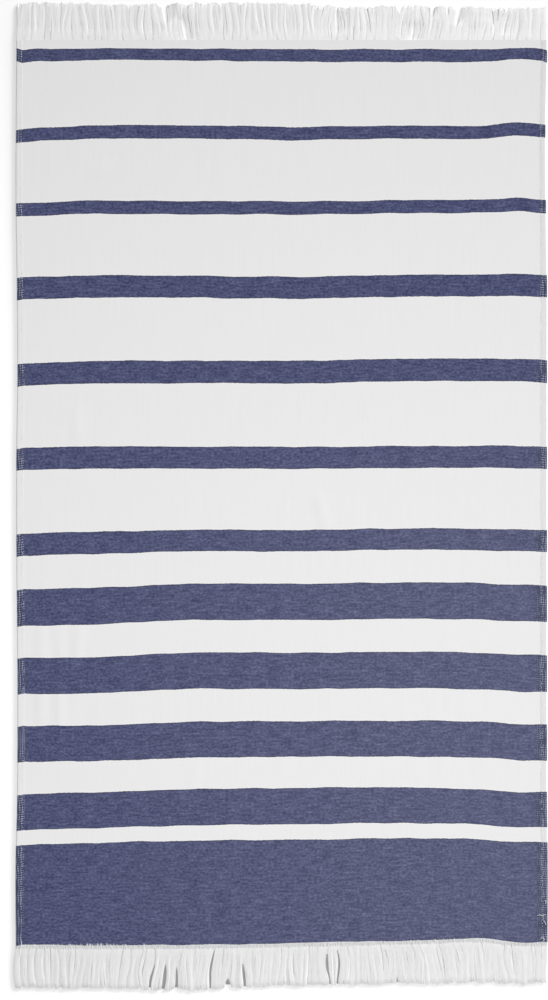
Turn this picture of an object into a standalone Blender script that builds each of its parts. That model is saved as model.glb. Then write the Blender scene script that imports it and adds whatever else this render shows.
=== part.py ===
"""Fringed beach towel of flat-woven cotton, lying flat with its face up.

A white ground carries navy weft stripes that grow wider towards the lower end. Both long sides are turned
onto the face as narrow hems, and the warp ends are left loose as a fringe at both ends. Metres, +Z up, +X
across the towel and +Y towards its upper fringe. The origin is on the surface that the towel lies on, under
the middle of its outline.

A place on the cloth is given as across, from its left edge, and along, from the roots of its upper fringe,
both in millimetres on the flat cloth.
"""

from collections import namedtuple

import bmesh
import bpy
import numpy as np

MM = 0.001

# Driving dimensions, in millimetres
CLOTH_WIDTH = 964
WOVEN_LENGTH = 1652  # between the roots of the two fringes
LEFT_EDGE_X = -479.2
UPPER_ROOTS_Y = 830.7
CLOTH_THICKNESS = 1.6
HEM_WIDTH = 10.5
HEM_THICKNESS = 2.9
HEM_STEP = 1.0  # from the hem's top down to the cloth
FOLD_ROUNDING = 1.2  # of the turned edge
FOLD_HEIGHT = 2.0  # of its outermost point
HEM_PLACES = (0, FOLD_ROUNDING, HEM_WIDTH, HEM_WIDTH + HEM_STEP)  # in from either side
PIECE_GAP = 0.3
UPPER_STRIP = 6.0  # woven rows that hold the upper fringe
LOWER_HEADING = 1644.0  # along; the widest stripe ends here and the lower fringe's heading starts
LOCKS = 136  # in each fringe
LOCK_GAP = 0.8
LOCK_WIDTH_SPREAD = 0.16  # of the pitch, either way
LOCK_LENGTH_SPREAD = 1.6
EDGE_REACH = 80  # how far in from a side the wave of its outline is felt
PUSH_REACH = 24  # how far from a parting the locks are pushed aside
COLUMN_SPACING = 62
ROW_SPACING = 64
LEAST_SPACING = 7

# Colours and finish
WHITE_COTTON = (0.80, 0.80, 0.80, 1.0)
NAVY_MELANGE = (0.091, 0.098, 0.184, 1.0)
FRINGE_COTTON = (0.82, 0.82, 0.82, 1.0)
COTTON_ROUGHNESS = 0.9

Stripe = namedtuple("Stripe", "start height")
STRIPES = (
    Stripe(17, 23),
    Stripe(158, 24),
    Stripe(294, 24),
    Stripe(431, 40),
    Stripe(584, 41),
    Stripe(741, 40),
    Stripe(892, 39),
    Stripe(990, 66),
    Stripe(1116, 66),
    Stripe(1240, 65),
    Stripe(1362, 66),
    Stripe(1456, 188),
)

# How the weft lies. Each row is one weft line: its place along the cloth, how far it sags towards the lower
# fringe at eight places across, and how far the left and right edges stand out beyond straight ones.
Line = namedtuple("Line", "along left at_130 at_300 at_515 at_735 at_845 at_915 right edge_left edge_right")
SAG_PLACES = {
    "left": 0,
    "at_130": 130,
    "at_300": 300,
    "at_515": 515,
    "at_735": 735,
    "at_845": 845,
    "at_915": 915,
    "right": CLOTH_WIDTH,
}
LINES = (
    Line(0, 0, 0, 0, 0, 0, 0, 0, 0, 1, 0),
    Line(28, 2, -3, -2, 0, 0, 0, -4, -1, 1, 0),
    Line(170, 4, -2, -3, 0, -2, -2, -8, -4, 2, -3),
    Line(306, 3, -1, -1, 0, -3, -3, -6, -3, 2, -2),
    Line(451, 2, -2, -2, 0, -4, -4, -5, -3, 0, 0),
    Line(604, 5, 1, 0, 0, -4, -4, -3, -1, -1, 0),
    Line(761, 2, -1, -1, 0, -2, -2, -2, 0, 1, 0),
    Line(911, 7, 5, 0, 0, -3, -2, 0, 1, 1, 0),
    Line(1023, 11, 8, 1, 0, -2, -1, 2, 3, 0, 0),
    Line(1149, 9, 8, 0, 0, -2, 0, 4, 4, -1, 0),
    Line(1273, 9, 8, 2, 0, 0, 2, 6, 7, -1, 0),
    Line(1395, 11, 8, 3, 0, -1, 2, 7, 6, 0, 0),
    Line(1465, 10, 6, 2, 0, -3, -1, 4, 4, 2, 1),
    Line(1652, 3, 4, 4, 0, -5, -8, -1, -2, 5, 1),
)

# Soft creases where the cloth lifts a little off the surface; turn is in degrees from the warp.
Crease = namedtuple("Crease", "across along half_width half_length turn height")
CREASES = (
    Crease(151, 237, 16, 34, 35, 0.9),
    Crease(110, 702, 15, 60, 0, 1.1),
    Crease(556, 862, 16, 60, -14, 1.1),
    Crease(44, 1150, 15, 210, 0, 1.3),
    Crease(78, 1180, 15, 190, 0, 1.5),
    Crease(112, 1080, 15, 170, 3, 1.2),
    Crease(324, 1338, 16, 60, 12, 0.9),
)

# The fringes. Reach rows give a lock's length and how far its tip leans to the right of its root.
Reach = namedtuple("Reach", "across length lean")
UPPER_REACH = (
    Reach(0, 67, 0),
    Reach(80, 66, -2),
    Reach(190, 63, -7),
    Reach(300, 65, -7),
    Reach(400, 66, -6),
    Reach(480, 66, -5),
    Reach(550, 63, -3),
    Reach(610, 59, -1),
    Reach(690, 62, 2),
    Reach(790, 61, 7),
    Reach(870, 58, 4),
    Reach(CLOTH_WIDTH, 58, 0),
)
LOWER_REACH = (
    Reach(0, 70, -3),
    Reach(90, 70, -3),
    Reach(180, 69, -8),
    Reach(350, 72, -6),
    Reach(430, 68, -4),
    Reach(560, 66, 0),
    Reach(700, 67, 8),
    Reach(800, 68, 9),
    Reach(890, 69, 4),
    Reach(CLOTH_WIDTH, 66, 0),
)

# Places where locks stand apart: half_gap at its widest, where that is along the lock (0 root, 1 tip) and how
# far either way the gap stays open.
Parting = namedtuple("Parting", "across half_gap middle spread")
UPPER_PARTINGS = (
    Parting(269, 2.6, 1.00, 0.50),
    Parting(306, 2.4, 0.30, 0.38),
    Parting(583, 1.3, 0.65, 0.42),
    Parting(721, 1.8, 0.25, 0.32),
    Parting(698, 2.4, 1.10, 0.30),
    Parting(759, 1.6, 1.05, 0.30),
    Parting(803, 2.6, 0.95, 0.50),
    Parting(889, 1.2, 0.50, 0.30),
)
LOWER_PARTINGS = (
    Parting(245, 1.8, 0.75, 0.35),
    Parting(268, 2.4, 0.75, 0.35),
    Parting(289, 2.0, 0.85, 0.40),
    Parting(352, 1.6, 0.55, 0.55),
    Parting(384, 3.0, 1.10, 0.30),
    Parting(413, 2.0, 0.75, 0.35),
    Parting(567, 1.3, 0.65, 0.45),
    Parting(585, 1.5, 0.60, 0.50),
    Parting(692, 1.4, 1.10, 0.25),
)

# Rings of a lock from root to tip: place along it, height, and width as a share of the lock's own.
Ring = namedtuple("Ring", "place height width")
LOCK_RINGS = (
    Ring(0.0, CLOTH_THICKNESS, 1.0),
    Ring(0.32, 1.9, 1.0),
    Ring(0.68, 1.7, 1.0),
    Ring(1.0, 1.0, 0.72),
)
LOCK_CROWN = 0.5  # width of a lock's top as a share of its foot

# Slow sideways waver of the locks: wavelength across, size, and phase.
Waver = namedtuple("Waver", "wavelength size phase")
WAVERS = (
    Waver(83, 1.3, 0.4),
    Waver(37, 0.7, 2.1),
    Waver(171, 1.5, 4.0),
)


def curve(places, stations, values):
    """Smooth curve through values at stations, read at places. Each piece is a cubic whose slope at a
    station is that between its neighbours. values may have more columns, each its own curve."""
    stations = np.asarray(stations, float)
    values = np.asarray(values, float)
    slopes = np.gradient(values, stations, axis=0)
    places = np.clip(np.asarray(places, float), stations[0], stations[-1])
    left = np.clip(np.searchsorted(stations, places) - 1, 0, len(stations) - 2)
    width = stations[left + 1] - stations[left]
    f = (places - stations[left]) / width
    if values.ndim > 1:
        f, width = f[..., None], width[..., None]
    return (
        values[left] * (1 + 2 * f) * (1 - f) ** 2
        + values[left + 1] * f**2 * (3 - 2 * f)
        + width * (slopes[left] * f * (1 - f) ** 2 - slopes[left + 1] * f**2 * (1 - f))
    )


def lie(across, along):
    """Where places of the cloth lie, as x and y in metres. A weft line sags as LINES says, and a side's
    waves fade over EDGE_REACH."""
    line_places = [line.along for line in LINES]
    sags = curve(along, line_places, [[getattr(line, name) for name in SAG_PLACES] for line in LINES])
    share = curve(across, list(SAG_PLACES.values()), np.eye(len(SAG_PLACES)))
    out_left = curve(along, line_places, [line.edge_left for line in LINES])
    out_right = curve(along, line_places, [line.edge_right for line in LINES])
    near_left = np.clip(1 - across / EDGE_REACH, 0, 1) ** 2
    near_right = np.clip(1 - (CLOTH_WIDTH - across) / EDGE_REACH, 0, 1) ** 2
    x = LEFT_EDGE_X + across - out_left * near_left + out_right * near_right
    y = UPPER_ROOTS_Y - along - (sags * share).sum(-1)
    return x * MM, y * MM


def lift(across, along):
    """How high the cloth's underside stands off the surface, in metres: the highest crease there, each the
    product of one soft bump over its width and one over its length."""
    height = np.zeros(np.shape(across))
    for crease in CREASES:
        turn = np.radians(crease.turn)
        side = (across - crease.across) * np.cos(turn) + (along - crease.along) * np.sin(turn)
        down = (along - crease.along) * np.cos(turn) - (across - crease.across) * np.sin(turn)
        over_width = np.clip(1 - (side / crease.half_width) ** 2, 0, 1) ** 2
        over_length = np.clip(1 - (down / crease.half_length) ** 2, 0, 1) ** 2
        height = np.maximum(height, crease.height * over_width * over_length)
    return height * MM


def thickness(across):
    """The cloth's thickness, in metres: the hems at both sides rise from it by one short step and round
    over at the fold."""
    inward = np.minimum(across, CLOTH_WIDTH - across)
    heights = (FOLD_HEIGHT, HEM_THICKNESS, HEM_THICKNESS, CLOTH_THICKNESS)
    return np.interp(inward, HEM_PLACES, heights) * MM


def fill_in(fixed, loose, spacing):
    """Sorted places that keep all the fixed ones, those of the loose ones that aren't too near another, and
    enough between them that none are further apart than spacing."""
    kept = sorted(fixed)
    for place in loose:
        if kept[0] < place < kept[-1] and min(abs(place - other) for other in kept) >= LEAST_SPACING:
            kept = sorted(kept + [place])
    filled = []
    for low, high in zip(kept, kept[1:]):
        steps = int(np.ceil((high - low) / spacing))
        filled += [low + (high - low) * step / steps for step in range(steps)]
    return np.array(filled + [kept[-1]])


def cloth_columns():
    """Places across the cloth where it has a line of points: both hems' steps and the creases' flanks."""
    fixed = [*HEM_PLACES, *(CLOTH_WIDTH - place for place in HEM_PLACES)]
    loose = [c.across + c.half_width * side for c in CREASES for side in (0, -1, 1)]
    return fill_in(fixed, loose, COLUMN_SPACING)


def cloth_rows():
    """Places along the cloth where it has a line of points: its ends, every stripe's edges and the
    creases' middles and ends."""
    ends = [UPPER_STRIP + PIECE_GAP, LOWER_HEADING - PIECE_GAP]
    edges = [edge for s in STRIPES for edge in (s.start, s.start + s.height) if edge < LOWER_HEADING]
    loose = [c.along + c.half_length * side for c in CREASES for side in (0, -0.6, 0.6)]
    return fill_in(ends + edges, loose, ROW_SPACING)


def cotton(name, colour):
    """Matt cotton of one colour."""
    material = bpy.data.materials.new(name)
    material.use_nodes = True
    material.diffuse_color = colour
    shader = material.node_tree.nodes["Principled BSDF"]
    shader.inputs["Base Color"].default_value = colour
    shader.inputs["Roughness"].default_value = COTTON_ROUGHNESS
    shader.inputs["Metallic"].default_value = 0.0
    return material


def finish(name, bm, materials):
    """Makes the object name from bm, with its faces turned outwards."""
    bmesh.ops.recalc_face_normals(bm, faces=bm.faces)
    mesh = bpy.data.meshes.new(name)
    bm.to_mesh(mesh)
    bm.free()
    for material in materials:
        mesh.materials.append(material)
    made = bpy.data.objects.new(name, mesh)
    bpy.context.scene.collection.objects.link(made)
    return made


def in_stripe(along):
    return any(s.start < along < s.start + s.height for s in STRIPES)


def make_towel():
    """The woven panel with its two turned hems: a grid of its face, extruded down to its underside."""
    columns, rows = cloth_columns(), cloth_rows()
    bm = bmesh.new()
    across, along = np.meshgrid(columns, rows)
    x, y = lie(across, along)
    under = lift(across, along)
    top = under + thickness(across)
    grid = [[bm.verts.new(point) for point in zip(*line)] for line in zip(x, y, top)]
    for r in range(len(rows) - 1):
        navy = in_stripe((rows[r] + rows[r + 1]) / 2)
        for c in range(len(columns) - 1):
            corners = (grid[r][c], grid[r + 1][c], grid[r + 1][c + 1], grid[r][c + 1])
            bm.faces.new(corners).material_index = int(navy)
    heights = {(v.co.x, v.co.y): z for v, z in zip(bm.verts, under.ravel())}
    made = bmesh.ops.extrude_face_region(bm, geom=bm.faces[:])["geom"]
    for vert in (item for item in made if isinstance(item, bmesh.types.BMVert)):
        vert.co.z = heights[vert.co.x, vert.co.y]
    return finish("towel", bm, (cotton("white cotton", WHITE_COTTON), cotton("navy melange", NAVY_MELANGE)))


def lock_edges(rng):
    """Left and right edges of every lock's root, across the cloth, from a pitch that varies a little."""
    pitch = CLOTH_WIDTH / LOCKS
    shift = rng.uniform(-LOCK_WIDTH_SPREAD, LOCK_WIDTH_SPREAD, LOCKS + 1) * pitch
    shift[[0, -1]] = 0
    between = np.arange(LOCKS + 1) * pitch + shift
    return between[:-1], between[1:]


def drift(across, side, place, reach, partings):
    """How far a lock's edge has moved to the right at a place along it, in millimetres. The tip's lean comes
    mostly near the root, wavers are sines that grow with the place, and a parting pushes the edges beside
    it apart. side is 1 for a lock's left edge and -1 for its right one, which settles which side of a
    parting it is on."""
    bend = 1 - (1 - place) ** 2
    moved = curve(across, [r.across for r in reach], [r.lean for r in reach]) * bend
    for waver in WAVERS:
        moved = moved + waver.size * place * np.sin(
            2 * np.pi * across / waver.wavelength + waver.phase + 2 * place
        )
    for parting in partings:
        open_by = max(0.0, 1 - ((place - parting.middle) / parting.spread) ** 2)
        off = across + 0.01 * side - parting.across
        moved = moved + np.sign(off) * parting.half_gap * open_by * np.exp(-np.abs(off) / PUSH_REACH)
    return moved


def zip_rows(bm, back, front):
    """Fills the strip between two rows of vertices that run the same way with triangles, each time taking
    the row whose next vertex comes first."""
    b, f = 0, 0
    while b < len(back) - 1 or f < len(front) - 1:
        front_ended = f == len(front) - 1
        if front_ended or (b < len(back) - 1 and back[b + 1].co.x <= front[f + 1].co.x):
            bm.faces.new((back[b], front[f], back[b + 1]))
            b += 1
        else:
            bm.faces.new((back[b], front[f], front[f + 1]))
            f += 1


def lock_ring(ring, edges, lengths, roots, outward, reach, partings):
    """Foot and crown corners of every lock at one ring: left foot, left crown, right crown and right foot,
    each a list of points, one for each lock."""
    left, right = edges
    centre = (left + right) / 2
    low = left + drift(left, 1, ring.place, reach, partings) + LOCK_GAP / 2
    high = right + drift(right, -1, ring.place, reach, partings) - LOCK_GAP / 2
    half = (high - low) / 2 * ring.width
    x, y = lie(centre, np.full(LOCKS, float(roots)))
    x = x + ((low + high) / 2 - centre) * MM
    y = y + outward * ring.place * lengths * MM
    corners = ((-1, 0), (-LOCK_CROWN, ring.height), (LOCK_CROWN, ring.height), (1, 0))
    return [list(zip(x + half * share * MM, y, np.full(LOCKS, z * MM))) for share, z in corners]


def make_fringe(name, strip, outward, reach, partings, seed):
    """A narrow woven strip with its row of loose locks, in one piece. strip is its side next to the cloth
    and its side with the roots, as places along the cloth, and outward is the locks' way along Y."""
    rng = np.random.default_rng(seed)
    beside_cloth, roots = strip
    edges = lock_edges(rng)
    starts, centres = edges[0], sum(edges) / 2
    partings = [p._replace(across=starts[np.abs(starts - p.across).argmin()]) for p in partings]
    lengths = curve(centres, [r.across for r in reach], [r.length for r in reach])
    lengths = lengths + rng.uniform(-LOCK_LENGTH_SPREAD, LOCK_LENGTH_SPREAD, LOCKS)

    bm = bmesh.new()
    rings = []
    for ring in LOCK_RINGS:
        corners = lock_ring(ring, edges, lengths, roots, outward, reach, partings)
        rings.append([[bm.verts.new(point) for point in corner] for corner in corners])
    for near, far in zip(rings, rings[1:]):
        for k in range(LOCKS):
            for a, b in ((0, 1), (1, 2), (2, 3), (3, 0)):
                bm.faces.new((near[a][k], near[b][k], far[b][k], far[a][k]))
    for k in range(LOCKS):
        bm.faces.new([corner[k] for corner in rings[-1]])

    # The strip: its underside and top reach from the cloth's side to the locks' feet and crowns.
    columns = cloth_columns()
    x, y = lie(columns, np.full(len(columns), float(beside_cloth)))
    back_low = [bm.verts.new((a, b, 0)) for a, b in zip(x, y)]
    back_top = [bm.verts.new((a, b, CLOTH_THICKNESS * MM)) for a, b in zip(x, y)]
    left_feet, left_crowns, right_crowns, right_feet = rings[0]
    front_low = [vert for pair in zip(left_feet, right_feet) for vert in pair]
    front_top = [vert for pair in zip(left_crowns, right_crowns) for vert in pair]
    zip_rows(bm, back_low, front_low)
    zip_rows(bm, back_top, front_top)
    for k in range(len(columns) - 1):
        bm.faces.new((back_low[k], back_low[k + 1], back_top[k + 1], back_top[k]))
    for k in range(LOCKS - 1):
        bm.faces.new((right_feet[k], left_feet[k + 1], left_crowns[k + 1], right_crowns[k]))
    for end in (0, -1):
        bm.faces.new((back_low[end], back_top[end], front_top[end], front_low[end]))
    return finish(name, bm, (cotton(name + " cotton", FRINGE_COTTON),))


def main():
    for old in list(bpy.data.objects):
        bpy.data.objects.remove(old)
    make_towel()
    make_fringe("fringe_top", (UPPER_STRIP, 0), 1, UPPER_REACH, UPPER_PARTINGS, seed=3)
    make_fringe("fringe_bottom", (LOWER_HEADING, WOVEN_LENGTH), -1, LOWER_REACH, LOWER_PARTINGS, seed=5)


main()
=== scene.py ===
"""Fringed beach towel of flat-woven cotton, lying flat: its looks, over the packed model.

Every piece is laid by the same formulas as the model's solids. A place on the cloth is given as across, from
its left edge, and along, from the roots of its upper fringe, both in millimetres on the flat cloth. The UV
map "flat" holds them in metres, and the patterns of the weave follow it.
"""

from collections import namedtuple
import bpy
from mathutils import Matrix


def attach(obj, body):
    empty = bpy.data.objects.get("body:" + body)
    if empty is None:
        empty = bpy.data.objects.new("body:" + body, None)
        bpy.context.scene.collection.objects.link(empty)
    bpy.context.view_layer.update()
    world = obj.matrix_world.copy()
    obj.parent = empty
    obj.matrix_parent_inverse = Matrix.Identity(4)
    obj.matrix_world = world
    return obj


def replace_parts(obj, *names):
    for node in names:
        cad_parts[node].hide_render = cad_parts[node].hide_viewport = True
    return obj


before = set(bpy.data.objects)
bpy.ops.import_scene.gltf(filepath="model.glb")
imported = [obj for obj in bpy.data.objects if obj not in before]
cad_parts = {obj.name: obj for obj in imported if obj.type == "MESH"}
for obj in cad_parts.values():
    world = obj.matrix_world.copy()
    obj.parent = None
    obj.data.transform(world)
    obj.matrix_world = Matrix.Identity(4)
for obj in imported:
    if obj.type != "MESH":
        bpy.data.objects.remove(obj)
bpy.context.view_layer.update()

from types import SimpleNamespace

import bpy
import numpy as np

bl_info = {
    "name": "Fringed Beach Towel",
    "version": (1, 0, 0),
    "blender": (4, 5, 0),
    "location": "3D View > Sidebar > Towel",
    "description": "Builds the cloth, hems, stitches and fringes of a striped beach towel",
    "category": "Object",
}

MM = 0.001
BODY = "root"


def table(kind, fields, *rows):
    """A tuple of rows whose numbers have names."""
    named = namedtuple(kind, fields)
    return tuple(named(*row) for row in rows)


def column(rows, name):
    """One column of a table, as a list."""
    return [getattr(row, name) for row in rows]


# The model's own sizes and tables, in millimetres. Two numbers follow the photograph more closely here than
# in the model: the last line's left edge, and the gap at 384 in the lower fringe.
CLOTH_WIDTH = 964
WOVEN_LENGTH = 1652
LEFT_EDGE_X = -479.2
UPPER_ROOTS_Y = 830.7
LOWER_HEADING = 1644.0
LOCKS = 136
LOCK_WIDTH_SPREAD = 0.16
LOCK_LENGTH_SPREAD = 1.6
EDGE_REACH = 80
PUSH_REACH = 24

# fmt: off
STRIPES = table(
    "Stripe", "start height",
    (17, 23), (158, 24), (294, 24), (431, 40), (584, 41), (741, 40),
    (892, 39), (990, 66), (1116, 66), (1240, 65), (1362, 66), (1456, 188),
)

# How the weft lies. Each row is one weft line: its place along the cloth, how far it sags towards the lower
# fringe at SAG_PLACES across, and how far the left and right edges stand out beyond straight ones.
SAG_PLACES = (0, 130, 300, 515, 735, 845, 915, CLOTH_WIDTH)
LINES = table(
    "Line", "along sags left right",
    (0, (0, 0, 0, 0, 0, 0, 0, 0), 1, 0),
    (28, (2, -3, -2, 0, 0, 0, -4, -1), 1, 0),
    (170, (4, -2, -3, 0, -2, -2, -8, -4), 2, -3),
    (306, (3, -1, -1, 0, -3, -3, -6, -3), 2, -2),
    (451, (2, -2, -2, 0, -4, -4, -5, -3), 0, 0),
    (604, (5, 1, 0, 0, -4, -4, -3, -1), -1, 0),
    (761, (2, -1, -1, 0, -2, -2, -2, 0), 1, 0),
    (911, (7, 5, 0, 0, -3, -2, 0, 1), 1, 0),
    (1023, (11, 8, 1, 0, -2, -1, 2, 3), 0, 0),
    (1149, (9, 8, 0, 0, -2, 0, 4, 4), -1, 0),
    (1273, (9, 8, 2, 0, 0, 2, 6, 7), -1, 0),
    (1395, (11, 8, 3, 0, -1, 2, 7, 6), 0, 0),
    (1465, (10, 6, 2, 0, -3, -1, 4, 4), 2, 1),
    (1652, (3, 4, 4, 0, -5, -8, -1, -2), 2, 1),
)

# Soft creases where the cloth lifts a little; turn is in degrees from the warp.
CREASES = table(
    "Crease", "across along half_width half_length turn height",
    (151, 237, 16, 34, 35, 0.9), (110, 702, 15, 60, 0, 1.1), (556, 862, 16, 60, -14, 1.1),
    (44, 1150, 15, 210, 0, 1.3), (78, 1180, 15, 190, 0, 1.5), (112, 1080, 15, 170, 3, 1.2),
    (324, 1338, 16, 60, 12, 0.9),
)

# The fringes' reach: a lock's length and how far its tip leans to the right of its root.
REACH = ("Reach", "across length lean")
UPPER_REACH = table(
    *REACH, (0, 67, 0), (80, 66, -2), (190, 63, -7), (300, 65, -7), (400, 66, -6), (480, 66, -5),
    (550, 63, -3), (610, 59, -1), (690, 62, 2), (790, 61, 7), (870, 58, 4), (CLOTH_WIDTH, 58, 0),
)
LOWER_REACH = table(
    *REACH, (0, 70, -3), (90, 70, -3), (180, 69, -8), (350, 72, -6), (430, 68, -4), (560, 66, 0),
    (700, 67, 8), (800, 68, 9), (890, 69, 4), (CLOTH_WIDTH, 66, 0),
)

# Places where locks stand apart: half_gap at its widest, where that is along the lock (0 root, 1 tip) and how
# far either way the gap stays open. The last two of the upper fringe are small gaps between yarns that the
# model's locks don't have.
PARTING = ("Parting", "across half_gap middle spread")
UPPER_PARTINGS = table(
    *PARTING,
    (269, 2.6, 1.00, 0.50), (306, 2.4, 0.30, 0.38), (583, 1.3, 0.65, 0.42), (721, 1.8, 0.25, 0.32),
    (698, 2.4, 1.10, 0.30), (759, 1.6, 1.05, 0.30), (803, 2.6, 0.95, 0.50), (889, 1.2, 0.50, 0.30),
    (786, 1.4, 1.05, 0.28), (866, 1.2, 0.72, 0.20),
)
LOWER_PARTINGS = table(
    *PARTING,
    (245, 1.8, 0.75, 0.35), (268, 2.4, 0.75, 0.35), (289, 2.0, 0.85, 0.40), (352, 1.6, 0.55, 0.55),
    (384, 4.4, 1.10, 0.28), (413, 2.0, 0.75, 0.35), (567, 1.3, 0.65, 0.45), (585, 1.5, 0.60, 0.50),
    (692, 1.4, 1.10, 0.25),
)

# Slow sideways waver of the locks, as the model has it, and slow bends that only the loose cotton has.
WAVERS = table("Waver", "wavelength size phase", (83, 1.3, 0.4), (37, 0.7, 2.1), (171, 1.5, 4.0))
SWAYS = table("Sway", "wavelength size", (33, 0.8), (47, 1.3), (66, 1.5), (118, 1.2))

# One fringe: its piece, the model's node, where its roots are along the cloth, its way along Y, its tables
# and its seed. Its yarns differ from the model's locks in these ways: wider is how much wider the gaps open,
# thin how much lower the cotton lies beside them, longer how much longer the yarns are at places across, and
# bulge and tuck how far the left corner stands out midway and is drawn in at its tips. root_height is where
# the yarns leave the cloth. cotton is its brightness, and the last pair its tones at its left and right
# sides.
FRINGES = table(
    "Fringe",
    "name node roots outward reach partings seed wider thin longer bulge tuck root_height cotton fresh",
    (
        "yarns_top", "fringe_top", 0, 1, UPPER_REACH, UPPER_PARTINGS, 3, 1.7, 0.87,
        ((0, 0.5), (80, 1.4), (240, 1.0), (600, 0.6), (700, 0.0)),
        0.0, 4.0, 1.86, 1.018, (-0.05, 1.1),
    ),
    (
        "yarns_bottom", "fringe_bottom", WOVEN_LENGTH, -1, LOWER_REACH, LOWER_PARTINGS, 5, 1.4, 0.0,
        ((0, -0.5), (150, 1.2), (400, 2.8), (600, 3.8), (820, 4.6), (900, -0.6)),
        3.0, 4.5, 1.99, 0.955, (-0.15, 0.30),
    ),
)

# How wide each hem is at places along the cloth, and how far its stripes have slipped at its fold.
HEM_LINES = table(
    "HemLine", "along left right slip_left slip_right",
    (0, 10.2, 8.4, -2.0, 1.0), (28, 10.2, 8.4, -3.6, 2.2), (100, 10.4, 8.6, 0.0, 0.6),
    (306, 10.6, 8.8, 0.3, 0.4), (451, 11.2, 9.4, 1.2, 0.5), (911, 11.8, 9.6, 1.8, 0.4),
    (1395, 11.8, 9.6, 1.8, 0.3), (1600, 11.2, 9.2, 1.6, 0.5), (1652, 10.6, 8.8, 2.6, 0.8),
)

# A hem's section: inward as a share of its width, and height in millimetres. It runs from the raw edge on the
# cloth over the top, round the fold and back inside the cloth.
HEM_SECTION = table(
    "Place", "inward height",
    (1.25, 1.95), (1.12, 2.115), (0.98, 2.14), (0.8, 2.17), (0.6, 2.2), (0.42, 2.22), (0.22, 2.2),
    (0.1, 2.16), (0.05, 2.06), (0.0, 1.6), (0.02, 0.5), (0.12, 0.06), (0.4, 0.4),
)
RIGHT_HEM_SHARE = 0.4  # the right hem is pressed flatter: its share of the rise above the cloth
RIGHT_HEM_OUT = 1.2  # how far its fold stands out beyond the model's edge

# Ends of thread that have worked loose, as places across and along and heights.
LOOSE_THREADS = (
    ((10.2, 1637, 2.4), (9.8, 1643, 2.6), (8.6, 1650, 2.6), (7.4, 1657, 2.5), (7.0, 1661, 2.3)),
    ((947, 1594, 2.2), (951, 1593, 2.5), (956, 1594, 2.5), (962, 1592, 2.3)),
    ((959, 1605, 2.2), (961, 1608, 2.5), (962, 1612, 2.2)),
    ((952, 1638, 2.2), (956, 1636, 2.5), (959, 1639, 2.5), (957, 1642, 2.2)),
    ((960, 1565, 2.2), (962, 1569, 2.5), (961, 1573, 2.2)),
)
# fmt: on

# How the woven pieces meet, in millimetres: the cloth's sides end inside the hems' folds, the hems end short
# of the roots, and a line of points this close inside a border keeps the shading of the rim off the face.
CLOTH_INSET = 1.3
HEM_INSET = 0.2
BORDER_LINE = 0.05
ROUND_SIDES = 6  # of a stitch, a bundle or a loose thread
YARN_SIDES = 3

# Loose cotton, in millimetres: how high a strand's skin lies in a flat bunch, how far its soft body's middle
# lies below the skin, also at its roots, how far a strand's middle stands above its sides, the share of its
# width that its arch reaches, and how high the middle of the thin layer lies.
STRAND_TOP = 1.42
BODY_DROP = 0.28
BODY_ROOT_DROP = 0.21
STRAND_RISE = 0.08
ARCH_REACH = 0.85
UNDER_HEIGHT = 0.52

# How far from a parting cotton is kept out of it, lies lower and has rounded ends, and the half gap beside
# which it lies lowest.
KEEP_REACH = 30
THIN_REACH = 26
ROUND_REACH = 9
FULL_GAP = 3.5

# Seeds of the random draws. Those of the hems are one more on the right, and the last two are added to a
# fringe's own seed.
PUCKER_SEED = 11
RAW_EDGE_SEED = 31
SWELL_SEED = 41
STITCH_SEED = 71
STITCH_WANDER_SEED = 81
STITCH_SUNK_SEED = 85
HEADING_SEED = 91
YARN_SEED = 20
SWAY_SEED = 50


# Settings


def a_number(name, description, default, **more):
    return bpy.props.FloatProperty(name=name, description=description, default=default, **more)


def a_length(name, description, default, **more):
    return a_number(name, description, default, unit="LENGTH", **more)


def a_count(name, description, default, low, high):
    return bpy.props.IntProperty(name=name, description=description, default=default, min=low, max=high)


def a_colour(name, description, default):
    return bpy.props.FloatVectorProperty(name=name, description=description, default=default, subtype="COLOR")


class ClothSettings(bpy.types.PropertyGroup):
    """Sizes and colours of the woven panel."""

    spacing: a_length("Spacing", "Distance between the lines of points on the cloth", 0.006, min=0.003)
    thickness: a_length("Thickness", "Thickness of the single cloth", 0.0021)
    crease_share: a_number(
        "Crease height",
        "How much of the model's crease height the smooth cloth shows",
        0.25,
        subtype="FACTOR",
    )
    white: a_colour("White", "Colour of the ground", (0.687, 0.685, 0.687))
    navy: a_colour("Navy", "Mean colour of the stripes' melange", (0.052, 0.059, 0.134))
    fleck: a_number(
        "Flecks", "How strongly the melange's lighter and darker fibres show", 1.0, subtype="FACTOR"
    )


class HemSettings(bpy.types.PropertyGroup):
    """Sizes and colours of the side hems and their stitches."""

    spacing: a_length("Spacing", "Distance between the sections of a hem", 0.004)
    stitch_pitch: a_length("Stitch pitch", "Distance between the starts of two stitches", 0.0053)
    stitch_width: a_length("Stitch width", "Thickness of the sewing thread", 0.0008)
    thread: a_colour("Thread", "Colour of the sewing thread", (0.62, 0.65, 0.71))


class FringeSettings(bpy.types.PropertyGroup):
    """Sizes and colours of the fringe's yarns."""

    bunches: a_count("Bunches", "Soft bunches in each fringe", 74, 10, 120)
    strands: a_count("Strands", "Strands in each bunch", 3, 1, 5)
    yarns: a_count("Yarns", "Yarns in each strand", 7, 2, 15)
    steps: a_count("Steps", "Rings along each yarn", 11, 4, 20)
    yarn_width: a_length("Yarn width", "Thickness of one yarn", 0.0010)
    colour: a_colour("Colour", "Colour of the loose cotton", (0.72, 0.72, 0.72))


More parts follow.
